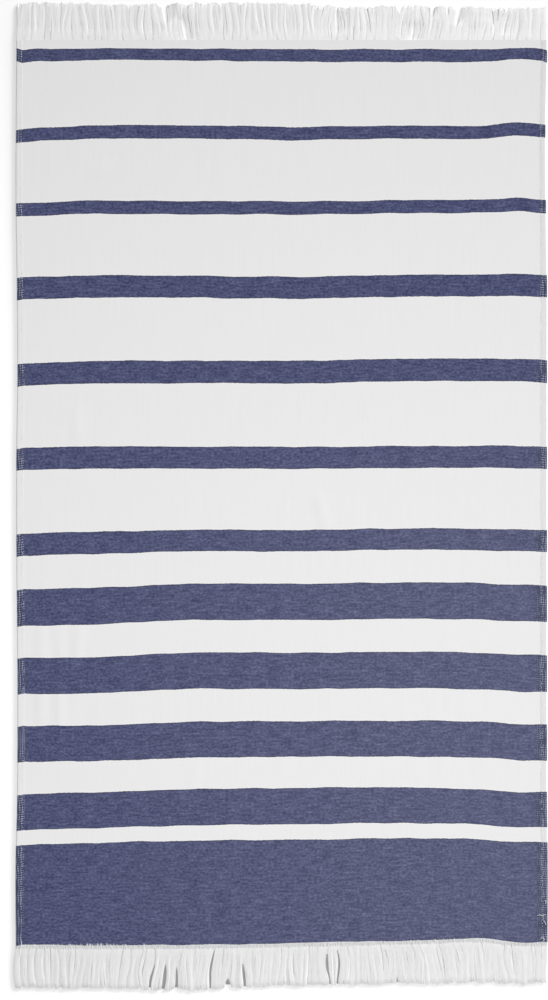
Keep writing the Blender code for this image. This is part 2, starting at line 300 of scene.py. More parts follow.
class StudioSettings(bpy.types.PropertyGroup):
    """Floor, lights and camera."""

    floor: a_colour("Floor", "Colour of the floor", (0.92, 0.92, 0.92))
    sky: a_number("Surround", "Strength of the even light from all round", 0.355)
    key: a_number("Soft box", "Power of the large light overhead, in watts", 60.0)
    side: a_number("Side light", "How much the light from the upper right adds to a flat surface", 0.28)
    lens: a_number("Lens", "Focal length of the camera", 100.0, unit="CAMERA")


# Shapes


def curve(places, stations, values):
    """Smooth curve through values at stations, read at places. Each piece is a cubic whose slope at a
    station is that between its neighbours. values may have more columns, each its own curve."""
    stations = np.asarray(stations, float)
    values = np.asarray(values, float)
    slopes = np.gradient(values, stations, axis=0)
    places = np.clip(np.asarray(places, float), stations[0], stations[-1])
    left = np.clip(np.searchsorted(stations, places) - 1, 0, len(stations) - 2)
    width = stations[left + 1] - stations[left]
    f = (places - stations[left]) / width
    if values.ndim > 1:
        f, width = f[..., None], width[..., None]
    return (
        values[left] * (1 + 2 * f) * (1 - f) ** 2
        + values[left + 1] * f**2 * (3 - 2 * f)
        + width * (slopes[left] * f * (1 - f) ** 2 - slopes[left + 1] * f**2 * (1 - f))
    )


def curve_of(rows, name, places, by="along"):
    """The curve through one column of a table, by its column of places."""
    return curve(places, column(rows, by), column(rows, name))


def smooth_step(low, high, values):
    """0 below low, 1 above high, and three squares less two cubes of the share between."""
    share = np.clip((values - low) / (high - low), 0, 1)
    return share * share * (3 - 2 * share)


def lie(across, along):
    """Where places of the cloth lie, as x and y in metres. A weft line sags as LINES says, and a side's
    waves fade over EDGE_REACH."""
    along = np.broadcast_to(along, np.shape(across))
    sags = curve_of(LINES, "sags", along)
    share = curve(across, SAG_PLACES, np.eye(len(SAG_PLACES)))
    near_left = np.clip(1 - across / EDGE_REACH, 0, 1) ** 2
    near_right = np.clip(1 - (CLOTH_WIDTH - across) / EDGE_REACH, 0, 1) ** 2
    x = LEFT_EDGE_X + across - curve_of(LINES, "left", along) * near_left
    x = x + curve_of(LINES, "right", along) * near_right
    y = UPPER_ROOTS_Y - along - (sags * share).sum(-1)
    return x * MM, y * MM


def lift(across, along):
    """How high the cloth's underside stands off the surface, in metres: the highest crease there, each the
    product of one soft bump over its width and one over its length."""
    height = np.zeros(np.shape(across))
    for crease in CREASES:
        turn = np.radians(crease.turn)
        side = (across - crease.across) * np.cos(turn) + (along - crease.along) * np.sin(turn)
        down = (along - crease.along) * np.cos(turn) - (across - crease.across) * np.sin(turn)
        over_width = np.clip(1 - (side / crease.half_width) ** 2, 0, 1) ** 2
        over_length = np.clip(1 - (down / crease.half_length) ** 2, 0, 1) ** 2
        height = np.maximum(height, crease.height * over_width * over_length)
    return height * MM


def cockle(across, along, seed):
    """Faint puckers of washed cotton, from -1 to 1: the mean of sines of seeded wavelengths and ways."""
    rng = np.random.default_rng(seed)
    waves = 9
    total = np.zeros(np.shape(across))
    for wavelength, way, phase in zip(
        rng.uniform(18, 75, waves), rng.uniform(-0.5, 0.5, waves), rng.uniform(0, 2 * np.pi, waves)
    ):
        run = across * np.cos(way) + along * np.sin(way)
        total += np.sin(2 * np.pi * run / wavelength + phase)
    return total / waves


def steps_between(low, high, spacing):
    """Even places from low to high, no further apart than spacing, and one more close inside each end."""
    places = np.linspace(low, high, int(np.ceil((high - low) / spacing)) + 1)
    return np.insert(places, [1, -1], [places[0] + BORDER_LINE, places[-1] - BORDER_LINE])


def net_faces(rows, columns, ring=False):
    """Quads between the points of a net of rows by columns. A ring's last column meets its first."""
    r, c = np.meshgrid(np.arange(rows - 1), np.arange(columns - (not ring)), indexing="ij")
    onward = (c + 1) % columns
    corners = (r * columns + c, r * columns + onward, (r + 1) * columns + onward, (r + 1) * columns + c)
    return np.stack(corners, -1).reshape(-1, 4)


def tube_faces(tubes, rings, sides):
    """Quads round many tubes of the same rings and sides, and the two end faces of each tube."""
    first = np.arange(tubes)[:, None] * rings * sides
    walls = (net_faces(rings, sides, ring=True)[None] + first[:, :, None]).reshape(-1, 4)
    around = np.arange(sides)
    starts = first + around[::-1]
    ends = first + (rings - 1) * sides + around
    return walls.tolist() + starts.tolist() + ends.tolist()


def tube_points(centres, side_ways, up_ways, widths, heights, sides, flip):
    """Points of many tubes. Each ring is an ellipse round its centre: the cosine of an even turn times the
    width along side_ways plus its sine times the height along up_ways. flip turns the rings the other way,
    as tubes need that run forward where side_ways, forward and up_ways are right-handed."""
    turns = 2 * np.pi * (np.arange(sides)[:: -1 if flip else 1] + 0.25 * sides / 3) / sides
    out = centres[..., None, :] + (
        np.cos(turns)[:, None] * (widths[..., None] * side_ways)[..., None, :]
        + np.sin(turns)[:, None] * (heights[..., None] * up_ways)[..., None, :]
    )
    return out.reshape(-1, 3)


def tubes_down(across, along, height, half_width, flatness):
    """Points and faces of tubes that run down the cloth, one row of rings for each. height and half_width
    are in metres, and flatness is a ring's height as a share of its width."""
    x, y = lie(across, along)
    centres = np.stack([x, y, height * np.ones_like(x)], -1)
    side_ways = np.broadcast_to([1.0, 0.0, 0.0], centres.shape)
    up_ways = np.broadcast_to([0.0, 0.0, 1.0], centres.shape)
    half_height = half_width * flatness
    points = tube_points(centres, side_ways, up_ways, half_width, half_height, ROUND_SIDES, flip=False)
    return points, tube_faces(*x.shape, ROUND_SIDES)


def make_piece(name, points, faces, material, flat=None, tone=None, smooth=True):
    """Puts one closed mesh in the scene as a piece that rides on the towel's body. flat holds a UV place for
    each point, in metres, tone one number for each point, and smooth one for all or for each face."""
    mesh = bpy.data.meshes.new(name)
    mesh.from_pydata(np.asarray(points, float).tolist(), [], faces)
    mesh.polygons.foreach_set("use_smooth", np.broadcast_to(smooth, len(mesh.polygons)).copy())
    if flat is not None:
        corner_points = np.empty(len(mesh.loops), np.int32)
        mesh.loops.foreach_get("vertex_index", corner_points)
        layer = mesh.uv_layers.new(name="flat")
        layer.uv.foreach_set("vector", np.asarray(flat, np.float32)[corner_points].ravel())
    if tone is not None:
        mesh.attributes.new("tone", "FLOAT", "POINT").data.foreach_set("value", tone.astype(np.float32))
    mesh.materials.append(material)
    mesh.update()
    piece = bpy.data.objects.new(name, mesh)
    bpy.context.scene.collection.objects.link(piece)
    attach(piece, BODY)
    return piece


def cloth_surface(across, along, share):
    """Points of the cloth's underside, in metres: its lie, and the creases and puckers as its height. The
    puckers are calm beside the hems and the fringes."""
    x, y = lie(across, along)
    inward = np.minimum(across, CLOTH_WIDTH - across)
    calm = smooth_step(12, 60, inward) * smooth_step(2, 30, along) * smooth_step(2, 30, WOVEN_LENGTH - along)
    pucker = 0.04 * MM * calm * (1 + cockle(across, along, PUCKER_SEED))
    return np.stack([x, y, lift(across, along) * share + pucker], -1)


def make_cloth(settings):
    """The woven panel: a net of places on its face, the same net for its underside, and a rim between. It
    reaches just inside the folds of the hems and between the roots of the two fringes."""
    spacing = settings.spacing / MM
    columns = steps_between(CLOTH_INSET, CLOTH_WIDTH - CLOTH_INSET, spacing)
    rows = steps_between(0.0, WOVEN_LENGTH, spacing)
    across, along = np.meshgrid(columns, rows)
    under = cloth_surface(across, along, settings.crease_share)
    top = under + np.array([0, 0, settings.thickness])
    face = net_faces(len(rows), len(columns))
    point = np.arange(across.size).reshape(across.shape)
    border = np.concatenate([point[0, :-1], point[:-1, -1], point[-1, :0:-1], point[:0:-1, 0]])
    onward = np.roll(border, -1)
    rim = np.stack([border, onward, onward + across.size, border + across.size], -1)
    faces = face[:, ::-1].tolist() + (face + across.size).tolist() + rim.tolist()
    flat = np.stack([across, along], -1).reshape(-1, 2) * MM
    points = np.concatenate([top.reshape(-1, 3), under.reshape(-1, 3)])
    flat = np.concatenate([flat, flat])
    piece = make_piece("woven_panel", points, faces, woven_cotton(settings), flat=flat)
    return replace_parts(piece, "towel")


def make_hem(settings, cloth, right):
    """One turned hem: HEM_SECTION carried along the cloth's side. Its raw edge wavers a little."""
    side = "right" if right else "left"
    rows = steps_between(HEM_INSET, WOVEN_LENGTH - HEM_INSET, settings.spacing / MM)
    width, slip = curve_of(HEM_LINES, side, rows), curve_of(HEM_LINES, "slip_" + side, rows)
    inward_share = np.array(column(HEM_SECTION, "inward"))
    height = np.array(column(HEM_SECTION, "height"))
    if right:
        single = cloth.thickness / MM
        height = np.where(height > single, single + (height - single) * RIGHT_HEM_SHARE, height)
    raw = 0.25 * cockle(rows * 2.2, rows * 0.4, RAW_EDGE_SEED + right)
    out = RIGHT_HEM_OUT if right else 0
    inward = inward_share * (width + raw + out)[:, None] - out
    along = np.broadcast_to(rows[:, None], inward.shape)
    across = CLOTH_WIDTH - inward if right else inward
    x, y = lie(across, along)
    swell = 1 + 0.02 * cockle(rows * 1.7, rows * 0.9, SWELL_SEED + right)[:, None] * (height > 2)
    points = np.stack([x, y, height * swell * MM], -1).reshape(-1, 3)
    faces = tube_faces(1, len(rows), len(HEM_SECTION))
    if right:
        faces = [face[::-1] for face in faces]
    # The pattern runs on round the fold, and its stripes slip towards it.
    near_fold = 1 - inward_share
    flat = np.stack([across, along - slip[:, None] * near_fold], -1).reshape(-1, 2) * MM
    return make_piece("hem_" + side, points, faces, hem_cotton(cloth, right), flat=flat)


def make_stitches(settings, right):
    """The row of sewing on a hem: short arched stitches, each an ellipse carried along a low arch, some of
    them drawn down into the cloth."""
    side = "right" if right else "left"
    rng = np.random.default_rng(STITCH_SEED + right)
    pitch = settings.stitch_pitch / MM
    starts = np.arange(2, WOVEN_LENGTH - 4, pitch)
    starts = starts + rng.uniform(-0.3, 0.3, len(starts)) * pitch
    lengths = rng.uniform(0.26, 0.44, len(starts)) * pitch
    inward = curve_of(HEM_LINES, side, starts) - 1.3 + rng.normal(0, 0.22, len(starts))
    inward = inward + 0.5 * cockle(starts * 3, starts, STITCH_WANDER_SEED + right)
    slant = rng.normal(0, 0.16, len(starts))
    drawn = 2.0 * cockle(starts * 0.5, starts * 0.2, STITCH_SUNK_SEED + right) + 0.1
    sunk = rng.uniform(-0.5, 0.5, len(starts)) < drawn
    surface = 2.1 if right else 2.14
    place = np.linspace(0, 1, 5)
    arch = np.sin(np.pi * place)
    along = starts[:, None] + lengths[:, None] * place
    across = inward[:, None] + slant[:, None] * lengths[:, None] * (place - 0.5)
    across = CLOTH_WIDTH - across if right else across
    height = (surface + 0.34 * arch - 0.3 * sunk[:, None]) * MM
    half = settings.stitch_width / 2 * (0.55 + 0.45 * arch) * np.ones_like(along)
    points, faces = tubes_down(across, along, height, half, 0.8)
    return make_piece("stitches_" + side, points, faces, sewing_thread(settings))


def opening(parting, place):
    """How open a parting is at a place along the cotton, as a share: a parabola."""
    return np.maximum(0, 1 - ((place - parting.middle) / parting.spread) ** 2)


def closeness(parting, root, reach):
    """1 at a parting, falling evenly to 0 at its reach."""
    return np.maximum(0, 1 - np.abs(root - parting.across) / reach)


def drift(across, place, fringe, partings, side=0):
    """How far loose cotton has moved to the right at a place along it, in millimetres. The tip's lean comes
    mostly near the root, the left corner bulges by a sine and is tucked in towards its tips, wavers are
    sines that grow with the place, and a parting pushes both sides of it apart. side is 1 for cotton on the
    right of its line and -1 on the left."""
    bend = 1 - (1 - place) ** 2
    moved = curve_of(fringe.reach, "lean", across, by="across") * bend
    corner = 1 - smooth_step(0, 60, across)
    moved = moved + corner * (fringe.tuck * place**2 - fringe.bulge * np.sin(np.pi * place))
    for waver in WAVERS:
        turn = 2 * np.pi * across / waver.wavelength + waver.phase + 2 * place
        moved = moved + waver.size * place * np.sin(turn)
    for parting in partings:
        off = across + 0.01 * side - parting.across
        push = np.sign(off) * np.exp(-np.abs(off) / PUSH_REACH)
        moved = moved + parting.half_gap * opening(parting, place) * push
    return moved


def sway(across, place, fringe):
    """Slow bends that neighbouring bunches share, in millimetres: sines over the width, each with its own
    sine along the cotton. They fade towards the towel's sides."""
    rng = np.random.default_rng(fringe.seed + SWAY_SEED)
    phases = rng.uniform(0, 2 * np.pi, len(SWAYS))
    bends = rng.uniform(0.9, 1.7, len(SWAYS))
    starts = rng.uniform(-0.3, 0.3, len(SWAYS))
    calm = smooth_step(0, 45, np.minimum(across, CLOTH_WIDTH - across))
    moved = 0
    for (wavelength, size), phase, bend, start in zip(SWAYS, phases, bends, starts):
        along_it = np.sin(np.pi * (bend * place + start)) - np.sin(np.pi * start)
        moved = moved + size * np.sin(2 * np.pi * across / wavelength + phase) * along_it
    return moved * calm


def cotton_length(root, fringe, more):
    """How long cotton is that has its root there, in millimetres: as the model's lock there, and more."""
    rng = np.random.default_rng(fringe.seed)
    pitch = CLOTH_WIDTH / LOCKS
    shift = rng.uniform(-LOCK_WIDTH_SPREAD, LOCK_WIDTH_SPREAD, LOCKS + 1) * pitch
    shift[[0, -1]] = 0
    between = np.arange(LOCKS + 1) * pitch + shift
    middles = (between[:-1] + between[1:]) / 2
    lengths = curve_of(fringe.reach, "length", middles, by="across")
    lengths = lengths + rng.uniform(-LOCK_LENGTH_SPREAD, LOCK_LENGTH_SPREAD, LOCKS)
    return np.interp(root, middles, lengths) + more + np.interp(root, *np.transpose(fringe.longer))


def loose_partings(fringe):
    """The partings among the yarns. Each starts where the cotton that passes it has its root, so that it is
    at its own place across where it is widest."""
    found = []
    for parting in fringe.partings:
        root, place = np.array([float(parting.across)]), min(parting.middle, 0.9)
        for _ in range(4):
            moved = drift(root, place, fringe, ()) + sway(root, place, fringe)
            root = parting.across - moved
        found.append(parting._replace(across=root[0], half_gap=parting.half_gap * fringe.wider))
    return found


def bunch_edges(count, partings, rng):
    """Places across where one bunch ends and the next begins: an uneven pitch, with an edge at each
    parting."""
    pitch = CLOTH_WIDTH / count
    edges = np.arange(count + 1) * pitch
    edges[1:-1] += rng.uniform(-0.28, 0.28, count - 1) * pitch
    for parting in partings:
        edges[np.abs(edges - parting.across).argmin()] = parting.across
    return np.sort(edges)


def parting_line(parting, place, fringe, partings):
    """Where a parting's middle runs, in millimetres across: its own line, moved as the cotton on its two
    sides is on average, so that its own push cancels."""
    line = np.full_like(place, parting.across)
    sides = drift(line, place, fringe, partings, 1) + drift(line, place, fringe, partings, -1)
    return line + sides / 2 + sway(line, place, fringe)


def keep_out(middle, root, place, fringe, partings, margin=0.0):
    """Cotton kept out of every parting: on its own root's side of the parting's line, and no nearer to it
    than half the gap at that place and the margin."""
    for parting in partings:
        side = np.sign(root - parting.across)
        open_by = opening(parting, place)
        line = parting_line(parting, place, fringe, partings)
        off = (middle - line) * side
        pushed = line + side * np.maximum(off, parting.half_gap * np.sqrt(open_by) + margin)
        middle = np.where((open_by > 0) & (np.abs(root - parting.across) < KEEP_REACH), pushed, middle)
    return middle


def thinning(root, place, fringe, partings):
    """How much of its height cotton keeps: less beside an open parting, and less the wider the parting is, so
    that its shade leaves the floor there light."""
    kept = np.ones(np.broadcast_shapes(np.shape(root), np.shape(place)))
    for parting in partings:
        share = fringe.thin * min(1, parting.half_gap / FULL_GAP)
        beside = share * closeness(parting, root, THIN_REACH)
        kept = np.minimum(kept, 1 - beside * np.sqrt(opening(parting, place)))
    return kept


def tip_rounding(root, partings):
    """How much shorter cotton is beside a parting that is open at the tips, in millimetres, because a lock's
    end is rounded there: a power of its nearness to the parting."""
    shorter = np.zeros(np.shape(root))
    for parting in partings:
        close = closeness(parting, root, ROUND_REACH)
        shorter = np.maximum(shorter, 1.1 * parting.half_gap * opening(parting, 1) * close**1.5)
    return shorter


def flat_tubes(middle, along, height, half_width, half_height, sides, fringe, slope=0.0):
    """Tubes that lie along the fringe. middle is each ring's place across, along its distance from the roots
    and height its middle's height, all in millimetres with one row for each tube. slope is how much a ring
    rises to the right."""
    root = np.broadcast_to(middle[:, :1], middle.shape)
    x, y = lie(root, np.full(middle.shape, float(fringe.roots)))
    x = x + (middle - root) * MM
    y = y + fringe.outward * along * MM
    centres = np.stack([x, y, height * MM], -1)
    tilt = np.arctan(slope * np.ones_like(middle))
    side_ways = np.stack([np.cos(tilt), 0 * tilt, np.sin(tilt)], -1)
    up_ways = np.stack([-np.sin(tilt), 0 * tilt, np.cos(tilt)], -1)
    flip = fringe.outward > 0
    points = tube_points(centres, side_ways, up_ways, half_width * MM, half_height * MM, sides, flip)
    return points, tube_faces(len(middle), middle.shape[1], sides)


class Draws:
    """Seeded random numbers for a fringe: one for each strand or yarn, as a column, or one for each bunch,
    given to all its strands. bunch is each strand's bunch and strand each yarn's strand."""

    def __init__(self, settings, seed):
        self.rng = np.random.default_rng(seed)
        self.bunches = settings.bunches
        self.bunch = np.repeat(np.arange(settings.bunches), settings.strands)
        self.strand = np.repeat(np.arange(len(self.bunch)), settings.yarns)

    def per_bunch(self, low, high):
        return self.rng.uniform(low, high, self.bunches)[self.bunch][:, None]

    def per_strand(self, low, high):
        return self.rng.uniform(low, high, len(self.bunch))[:, None]

    def per_yarn(self, low, high):
        return self.rng.uniform(low, high, len(self.strand))[:, None]


def lay_strands(settings, fringe, edges, partings, place, draws):
    """The strands of all bunches, with one row for each and one column for each place along it. share is
    where each lies in its bunch, from -1 to 1, half and middle are its own, and rise is how far its bunch's
    middle stands above its sides. A bunch is drawn together at its root and spreads towards the tips."""
    share = (2 * np.tile(np.arange(settings.strands), settings.bunches) + 1) / settings.strands - 1
    share = share[:, None] + draws.per_strand(-0.12, 0.12)
    # Up to a fifth narrower at its root and a quarter wider at its tips
    near_root = 1 - smooth_step(0.0, 0.55, place)
    near_tip = smooth_step(0.45, 1.0, place)
    width = 1 - draws.per_bunch(0.0, 0.2) * near_root + draws.per_bunch(0.0, 0.24) * near_tip
    wave = draws.per_bunch(-1.0, 1.0) * np.sin(np.pi * place * draws.per_bunch(0.8, 2.2)) * place**0.6
    wave = wave + draws.per_strand(-0.9, 0.9) * np.sin(np.pi * place * draws.per_strand(1.0, 2.4)) * place
    base = ((edges[:-1] + edges[1:]) / 2)[draws.bunch][:, None]
    bunch_half = (np.diff(edges) / 2)[draws.bunch][:, None]
    root = base + share * bunch_half
    shared = drift(root, place, fringe, partings) + sway(root, place, fringe)
    half = bunch_half / settings.strands * width * draws.per_strand(0.98, 1.2)
    middle = base + share * bunch_half * width + shared + wave
    middle = keep_out(middle, root, place, fringe, partings, half * 0.9)
    # Bunches are lower at the left corner, and flatter towards the right.
    rise = draws.per_bunch(0.14, 0.44) * (0.4 + 0.6 * smooth_step(0, 14, base))
    rise = rise * (1 - 0.35 * smooth_step(480, 800, base))
    top = STRAND_TOP + rise * (1 - share**2) + draws.per_strand(-0.04, 0.04)
    thinned = thinning(root, place, fringe, partings)
    sunk = (1 - 0.24 * smooth_step(0.88, 1.0, place)) * thinned
    return SimpleNamespace(
        share=share,
        root=root,
        middle=middle,
        half=half,
        bunch_half=bunch_half,
        rise=rise,
        top=top,
        thinned=thinned,
        sunk=sunk,
    )


def lay_yarns(settings, fringe, strands, partings, place, settled, draws):
    """The yarns on all strands: points, faces, UV places and tones. Each keeps a place of its own across its
    strand, with a slow sine for its wander, and tilts as the strand's arch and its bunch do there. A few
    stray. The strands' lengths are drawn here as well."""
    strand = draws.strand
    start = 1.12 * (2 * (np.tile(np.arange(settings.yarns), len(strands.share)) + 0.5) / settings.yarns - 1)
    wander = draws.per_yarn(0.05, 0.30) * np.sin(
        2 * np.pi * (place * draws.per_yarn(0.3, 1.1) + draws.per_yarn(0, 1))
    )
    off = start[:, None] + draws.per_yarn(-0.10, 0.10) + wander * smooth_step(0, 0.4, place)
    off = np.clip(off, -1.2, 1.2)
    within = np.clip(off, -1, 1) * ARCH_REACH
    arch = np.sqrt(1 - within**2)
    share, half, rise = strands.share[strand], strands.half[strand], strands.rise[strand]
    in_bunch = share + off / settings.strands
    slope = -2 * rise * in_bunch / strands.bunch_half[strand]
    slope = slope - STRAND_RISE * ARCH_REACH * within / (arch * half)
    radius = settings.yarn_width / 2 / MM
    skin = strands.top[strand] - STRAND_RISE * (1 - arch) - rise * (in_bunch**2 - share**2)
    height = skin * settled + fringe.root_height * (1 - settled) + draws.per_yarn(-0.05, 0.05)
    # Three yarns in a hundred stray sideways over the others.
    stray = (draws.per_yarn(0, 1) < 0.03) * np.ones_like(place)
    off_stray = stray * draws.per_yarn(-2.6, 2.6) * np.sin(np.pi * place * draws.per_yarn(0.6, 1.1))
    half_width = radius * (1 - 0.25 * smooth_step(0.90, 1.0, place)) * np.ones_like(off)
    half_height = half_width * 0.6 * (0.4 + 0.6 * strands.thinned[strand])
    height = (height + 0.08 * stray * settled) * strands.sunk[strand]
    height = np.maximum(height, half_height * 1.04)
    strands.length = cotton_length(strands.root, fringe, draws.per_strand(-1.0, 1.0))
    strands.length = strands.length - tip_rounding(strands.root, partings)
    length = strands.length[strand] + draws.per_yarn(-1, 1) ** 3 * 2.4 + 0.4
    along = place * length - draws.per_yarn(0.6, 2.4) * (1 - place)
    middle = strands.middle[strand] + off * half
    middle = keep_out(middle, strands.root[strand], place, fringe, partings, radius) + off_stray
    tilt = slope * settled * strands.sunk[strand]
    points, faces = flat_tubes(middle, along, height, half_width, half_height, YARN_SIDES, fringe, tilt)
    around = np.broadcast_to(np.arange(YARN_SIDES) / YARN_SIDES, (*middle.shape, YARN_SIDES))
    down = np.broadcast_to((place * length)[..., None] * MM, around.shape)
    # The tone runs evenly from the left side's to the right side's, brighter towards the right on the upper
    # fringe.
    fresh = np.interp(strands.root[strand], (0, CLOTH_WIDTH), fringe.fresh)
    tone = (fresh + draws.per_strand(0, 0.7)[strand] + draws.per_yarn(0, 0.3))[..., None]
    tones = np.broadcast_to(tone, around.shape).ravel()
    return points, faces, np.stack([around, down], -1).reshape(-1, 2), tones


def under_layer(fringe, edges, partings, place):
    """The thin layer of cotton below each bunch, as wide as the bunch, so that the floor shows only in the
    partings."""
    sides = []
    for line, inward, side in ((edges[:-1, None], 0.01, 1), (edges[1:, None], -0.01, -1)):
        moved = line + drift(line, place, fringe, partings, side) + sway(line, place, fringe)
        sides.append(keep_out(moved, line + inward, place, fringe, partings))
    root = ((edges[:-1] + edges[1:]) / 2)[:, None]
    along = place * cotton_length(root, fringe, -2.5) - 1.2 * (1 - place)
    height = UNDER_HEIGHT * thinning(root, place, fringe, partings)
    return (sides[0] + sides[1]) / 2, along, height, (sides[1] - sides[0]) / 2, height * 0.96, 6, 0.0, 0.3


def painted_shade_layer(fringe, partings, place):
    """Painted shade in a fringe's partings: a dark sheet of cotton, from where each opens to where it closes.
    """
    first = np.array([max(p.middle - p.spread, 0.05) for p in partings])[:, None]
    last = np.array([min(p.middle + p.spread, 1.0) for p in partings])[:, None]
    place = first + (last - first) * place
    middle = np.array([parting_line(p, q, fringe, partings) for p, q in zip(partings, place)])
    roots = np.array([[p.across] for p in partings])
    length = cotton_length(roots, fringe, -1.0) - 1.1 * tip_rounding(roots, partings)
    # The low tone paints the sheet dark, as shade.
    return middle, place * length, 0.22, 4.5, 0.2, 6, 0.0, -0.85


def make_yarns(settings, fringe):
    """One fringe: bunches of strands of yarns. A strand is a soft body with a low arch across it, half an
    ellipse, and its yarns lie on it. The strands of a bunch lie on a low parabola, and the grooves between
    bunches close on the way down. A thin layer of cotton lies below."""
    draws = Draws(settings, fringe.seed + YARN_SEED)
    partings = loose_partings(fringe)
    edges = bunch_edges(settings.bunches, partings, draws.rng)
    place = np.linspace(0, 1, settings.steps)[None, :] ** 1.15
    settled = smooth_step(0.06, 0.40, place)
    strands = lay_strands(settings, fringe, edges, partings, place, draws)
    points, faces, flat, tones = lay_yarns(settings, fringe, strands, partings, place, settled, draws)
    yarn_faces = len(faces)

    # The strands' bodies
    body_top = (strands.top - BODY_DROP) * settled + (fringe.root_height - BODY_ROOT_DROP) * (1 - settled)
    body_half = strands.half * 1.16 * (1 - 0.15 * smooth_step(0.88, 1.0, place))
    body_along = place * (strands.length - 0.8) - 0.8 * (1 - place)
    body_slope = -2 * strands.rise * strands.share / strands.bunch_half * settled * strands.sunk
    sizes = (body_top * strands.sunk, body_half, 0.3 * strands.sunk, 8)
    layers = [(strands.middle, body_along, *sizes, body_slope, 0.5 + np.mean(fringe.fresh))]

    layers.append(under_layer(fringe, edges, partings, place))
    # In the lower fringe a dark sheet in the partings paints their shade.
    if fringe.outward < 0:
        layers.append(painted_shade_layer(fringe, partings, place))
    for middle, along, height, half_width, half_height, sides, slope, tone in layers:
        sizes = (size * np.ones_like(middle) for size in (height, half_width, half_height))
        more, more_faces = flat_tubes(middle, along, *sizes, sides, fringe, slope)
        faces += [[number + len(points) for number in face] for face in more_faces]
        points = np.concatenate([points, more])
        flat = np.concatenate([flat, np.stack([more[:, 0] * 9, more[:, 1]], -1)])
        tones = np.concatenate([tones, np.full(len(more), tone)])
    cotton = loose_cotton(settings, fringe.node + " cotton", fringe.cotton)
    smooth = np.arange(len(faces)) >= yarn_faces
    piece = make_piece(fringe.name, points, faces, cotton, flat=flat, tone=tones, smooth=smooth)
    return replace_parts(piece, fringe.node)


def make_heading(settings):
    """The white heading under the widest stripe: little warp bundles side by side, whose upper ends are the
    teeth at the navy edge and whose lower ends sink among the roots of the yarns. Their colour is darker than
    the fringe's, and darker still near the navy edge, as painted shade."""
    rng = np.random.default_rng(HEADING_SEED)
    middle = np.arange(1.4, CLOTH_WIDTH - 1, 2.5)
    middle = middle + rng.uniform(-0.6, 0.6, len(middle))
    place = np.linspace(0, 1, 6)[None, :]
    early = np.interp(middle, (0, 50, 110, 230, 320, 600, 720), (-1.0, -0.6, 1.7, 1.7, -1.3, -1.3, -0.6))
    start = (LOWER_HEADING - early + rng.uniform(-2.6, 2.4, len(middle)))[:, None]
    end = WOVEN_LENGTH + rng.uniform(-0.6, 2.8, len(middle))[:, None]
    along = start + (end - start) * place
    across = middle[:, None] + rng.normal(0, 0.6, len(middle))[:, None] * (place - 0.3)
    swell = np.sin(np.pi * (0.12 + 0.80 * place)) ** 0.8
    width = (0.3 + 0.9 * swell) * rng.uniform(0.7, 1.1, len(middle))[:, None] * MM
    points, faces = tubes_down(across, along, (1.93 + 0.05 * swell) * MM, width, 0.24)
    flat = np.stack([np.repeat(across, ROUND_SIDES), np.repeat(along, ROUND_SIDES)], -1) * MM
    # Painted shade: the tone falls below zero towards the navy edge, where the material darkens it.
    tone = rng.uniform(0, 0.5, len(middle))[:, None] - 0.7 * (1 - place) ** 1.2
    tone = np.repeat(tone, ROUND_SIDES)
    # The heading's cotton is drawn darker than the fringe's: painted shade.
    cotton = loose_cotton(settings, "gathered cotton", 0.74)
    return make_piece("heading_bundles", points, faces, cotton, flat=flat, tone=tone)


def make_loose_threads(settings):
    """The few ends of thread that have worked loose: each a thin tube along a smooth curve through the
    points of its table."""
    points, faces, flats = [], [], []
    place = np.linspace(0, 1, 19)
    thickness = settings.yarn_width * 0.32
    half = (thickness * (1 - 0.5 * np.abs(2 * place - 1) ** 6))[None]
    for thread in LOOSE_THREADS:
        rows = np.array(thread, float)
        across, along, height = curve(place, np.linspace(0, 1, len(rows)), rows).T
        x, y = lie(across, along)
        centres = np.stack([x, y, height * MM], -1)
        forward = np.gradient(centres, axis=0)
        forward /= np.linalg.norm(forward, axis=1, keepdims=True)
        side_ways = np.cross(forward, [0.0, 0.0, 1.0])
        side_ways /= np.linalg.norm(side_ways, axis=1, keepdims=True)
        up_ways = np.cross(side_ways, forward)
        first = sum(len(part) for part in points)
        ways = (side_ways[None], up_ways[None])
        points.append(tube_points(centres[None], *ways, half, half, ROUND_SIDES, flip=True))
        faces += [[number + first for number in face] for face in tube_faces(1, len(place), ROUND_SIDES)]
        around = np.tile(np.arange(ROUND_SIDES) / ROUND_SIDES, len(place))
        flats.append(np.stack([around, np.repeat(place * 0.03, ROUND_SIDES)], -1))
    points = np.concatenate(points)
    tone = np.full(len(points), 0.8)
    cotton = loose_cotton(settings, "bleached cotton", 1.15)
    return make_piece("loose_threads", points, faces, cotton, flat=np.concatenate(flats), tone=tone)


# Materials


